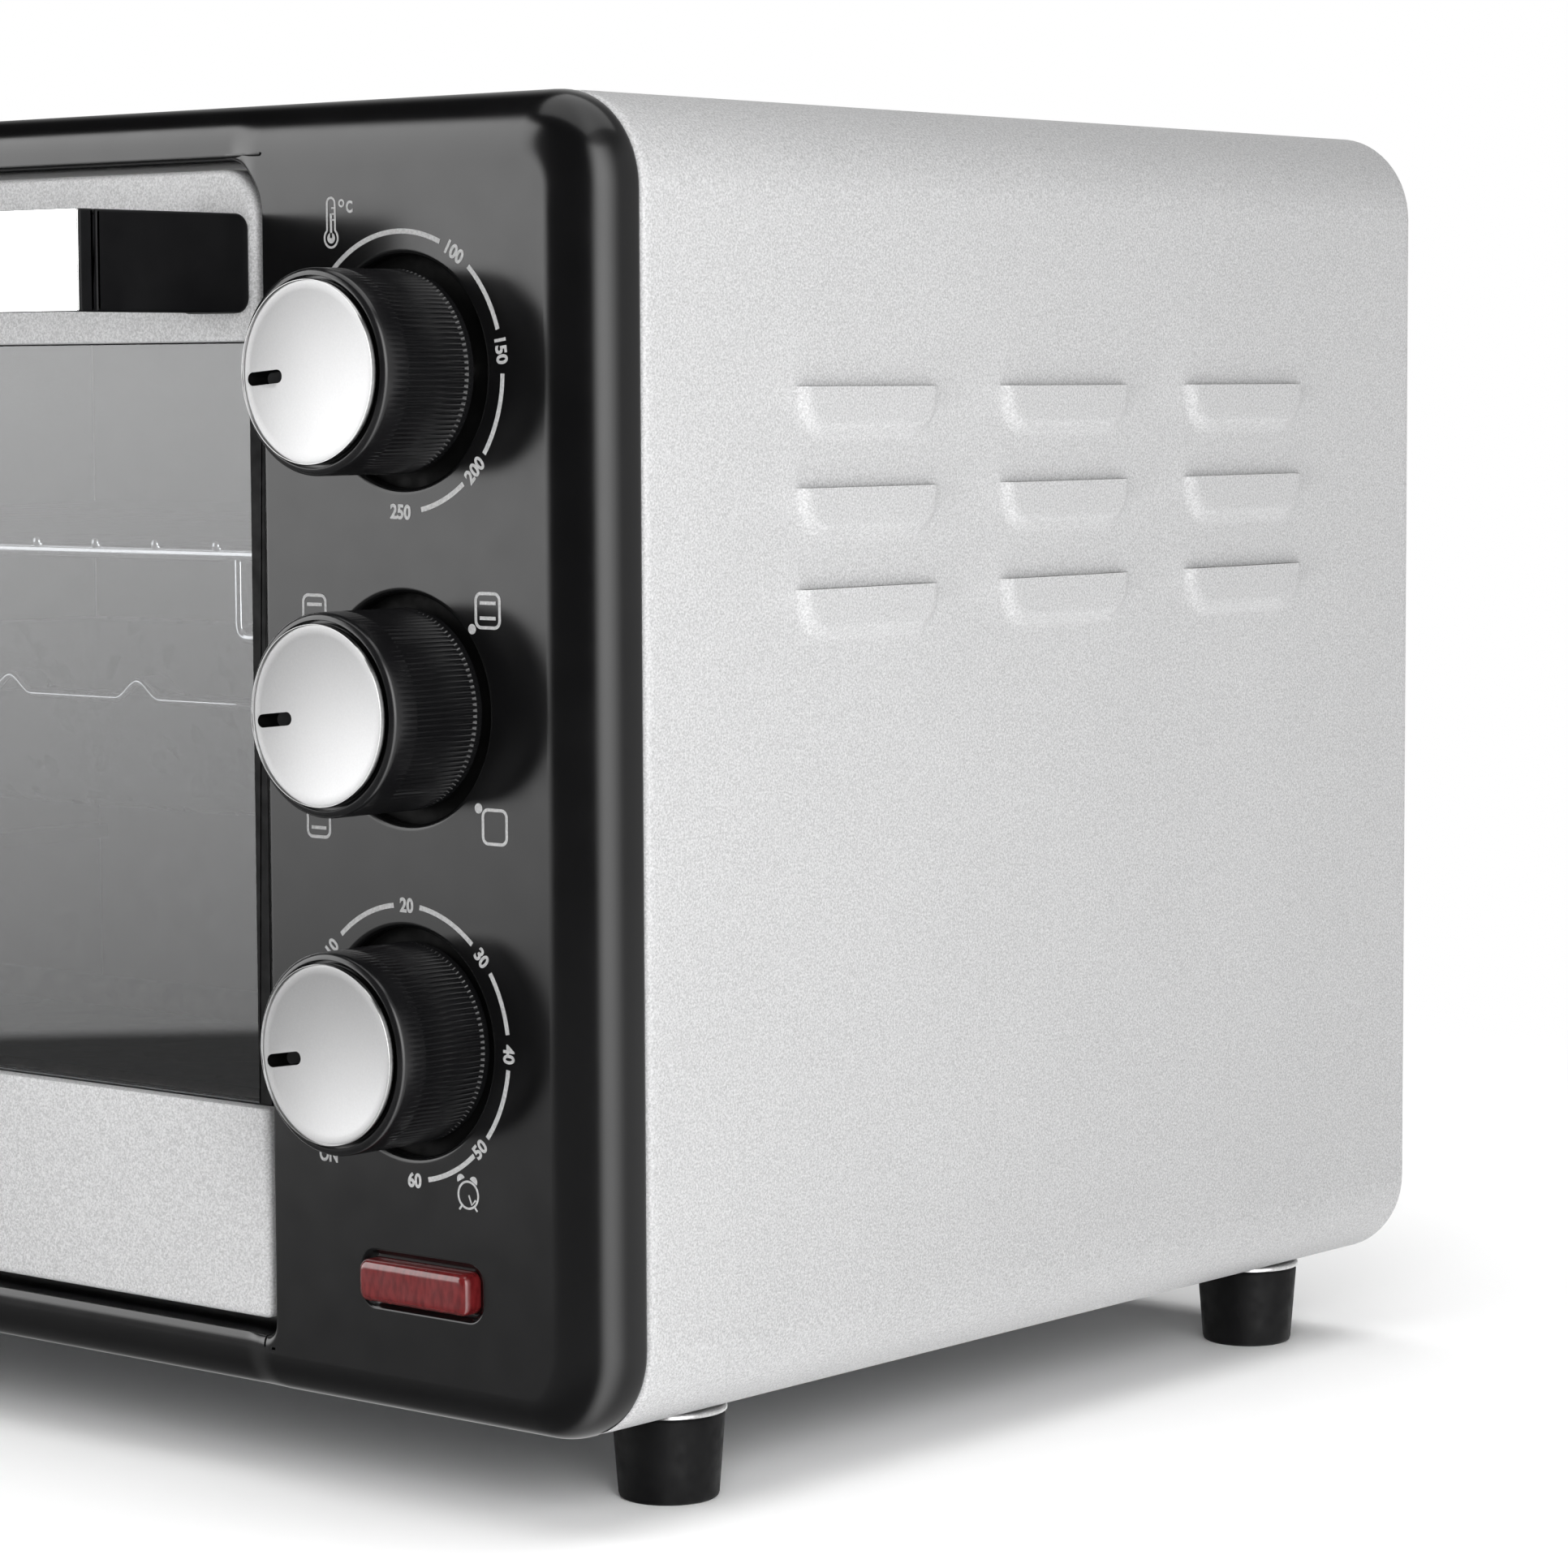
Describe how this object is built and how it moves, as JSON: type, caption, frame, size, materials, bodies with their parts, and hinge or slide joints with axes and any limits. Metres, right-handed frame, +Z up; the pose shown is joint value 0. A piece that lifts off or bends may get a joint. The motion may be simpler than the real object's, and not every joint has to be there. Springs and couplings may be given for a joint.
{
  "type": "toaster oven",
  "caption": "Countertop toaster oven: silver wrapped case with side louvers, black front frame, drop-down glass door with bar handle, three knobs, lamp and four feet.",
  "frame": {"origin": "on the surface it stands on, midway between the handle's front and the rear and midway across the case", "axes": "+X to the right seen from the front, +Y to the rear, +Z up"},
  "size_m": [0.4436, 0.316, 0.268],
  "materials": {
    "silver_paint": "fine metallic sparkle, satin",
    "black_paint": "semi-gloss black",
    "galvanised_steel": "galvanised, faint spangle",
    "liner_steel": "aluminised sheet, satin",
    "element_steel": "heat-darkened steel",
    "ceramic": "white ceramic or moulding, matt",
    "tray_enamel": "dark enamel",
    "control_metal": "plated steel",
    "zinc_screw": "zinc plated",
    "red_lens": "glossy red lens",
    "wire_sleeve": "woven glass sleeve",
    "black_rubber": "matt black",
    "bright_washer": "bright",
    "spring_steel": "oiled spring wire",
    "tinted_glass": "tempered, slightly tinted",
    "polished_steel": "mirror polished",
    "black_plastic": "satin black moulding",
    "chrome_wire": "bright plated wire",
    "brushed_cap": "fine brushed face, bright rim"
  },
  "bodies": {
    "oven": {"outer_case": "silver_paint", "front_frame": "black_paint", "rear_panel": "galvanised_steel", "base_plate": "galvanised_steel", "heat_shield": "galvanised_steel", "hinge_brackets": "galvanised_steel", "crumb_tray": "galvanised_steel", "cavity_top": "liner_steel", "cavity_floor": "liner_steel", "cavity_back": "liner_steel", "cavity_wall_left": "liner_steel", "cavity_wall_right": "liner_steel", "upper_heating_elements": "element_steel", "lower_heating_elements": "element_steel", "element_insulators": "ceramic", "lamp_holder": "ceramic", "terminal_block": "ceramic", "mode_switch": "ceramic", "baking_tray": "tray_enamel", "thermostat": "control_metal", "timer": "control_metal", "control_screws": "zinc_screw", "foot_screws": "zinc_screw", "foot_nuts": "zinc_screw", "case_screws": "zinc_screw", "lamp_lens": "red_lens", "internal_wires": "wire_sleeve", "feet": "black_rubber", "cord_gland": "black_rubber", "foot_washers": "bright_washer", "hinge_springs": "spring_steel"},
    "door": {"door_top_rail": "silver_paint", "door_bottom_rail": "silver_paint", "door_glass": "tinted_glass", "glass_seals": "black_rubber", "hinge_pins": "zinc_screw", "handle_bar": "polished_steel", "handle_bracket_left": "black_plastic", "handle_bracket_right": "black_plastic", "handle_screws": "zinc_screw"},
    "rack": {"wire_rack": "chrome_wire"},
    "temperature_control": {"temperature_knob": "black_plastic", "temperature_knob_cap": "brushed_cap", "thermostat_shaft": "zinc_screw"},
    "mode_control": {"mode_knob": "black_plastic", "mode_knob_cap": "brushed_cap", "mode_switch_shaft": "zinc_screw"},
    "timer_control": {"timer_knob": "black_plastic", "timer_knob_cap": "brushed_cap", "timer_shaft": "zinc_screw"}
  },
  "joints": [
    {"name": "door_hinge", "type": "hinge", "parent": "oven", "child": "door", "pos_m": [-0.0355, -0.111, 0.0365], "axis": [1, 0, 0], "range_deg": [0, 84]},
    {"name": "rack_slide", "type": "slide", "parent": "oven", "child": "rack", "axis": [0, -1, 0], "range_m": [0, 0.075]},
    {"name": "temperature_turn", "type": "hinge", "parent": "oven", "child": "temperature_control", "pos_m": [0.1711, -0.116, 0.21665], "axis": [0, 1, 0], "range_deg": [0, 272]},
    {"name": "mode_turn", "type": "hinge", "parent": "oven", "child": "mode_control", "pos_m": [0.1711, -0.116, 0.1538], "axis": [0, 1, 0], "range_deg": [0, 315]},
    {"name": "timer_turn", "type": "hinge", "parent": "oven", "child": "timer_control", "pos_m": [0.1711, -0.116, 0.09095], "axis": [0, 1, 0], "range_deg": [-48, 266]}
  ],
  "couplings": [
    {"joint": "rack_slide", "follows": "door_hinge", "m_per_rad": 0.048}
  ]
}
